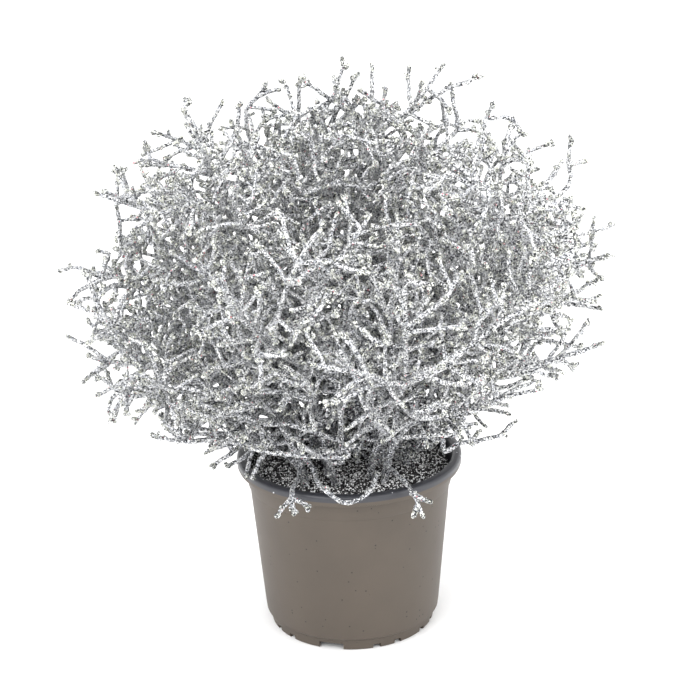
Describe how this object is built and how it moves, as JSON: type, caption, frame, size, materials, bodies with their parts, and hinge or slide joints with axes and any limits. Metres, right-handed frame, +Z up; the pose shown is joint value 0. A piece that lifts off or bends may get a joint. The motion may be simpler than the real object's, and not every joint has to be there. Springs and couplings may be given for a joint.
{
  "type": "potted cushion bush",
  "caption": "Wiry silvered cushion bush, a rounded mass of forked twigs, growing in a filled tapered nursery pot with a rolled lip.",
  "frame": {"origin": "centre of the pot's foot, on the surface that the pot stands on, under the centre of the bounding box", "axes": "+Z up along the pot's axis, -Y to the front of the pot, +X to the right as seen from the front"},
  "size_m": [0.258, 0.23, 0.2673],
  "materials": {
    "pot_plastic": "satin taupe",
    "compost": "crumbled, near black",
    "silvered_twig": "silver glitter coat"
  },
  "bodies": {
    "root": {"pot": "pot_plastic", "soil": "compost", "shoot_01": "silvered_twig", "shoot_02": "silvered_twig", "shoot_03": "silvered_twig", "shoot_04": "silvered_twig", "shoot_05": "silvered_twig", "shoot_06": "silvered_twig", "shoot_07": "silvered_twig", "shoot_08": "silvered_twig", "shoot_09": "silvered_twig", "shoot_10": "silvered_twig", "shoot_11": "silvered_twig", "shoot_12": "silvered_twig", "shoot_13": "silvered_twig", "shoot_14": "silvered_twig", "shoot_15": "silvered_twig", "shoot_16": "silvered_twig"}
  },
  "joints": []
}
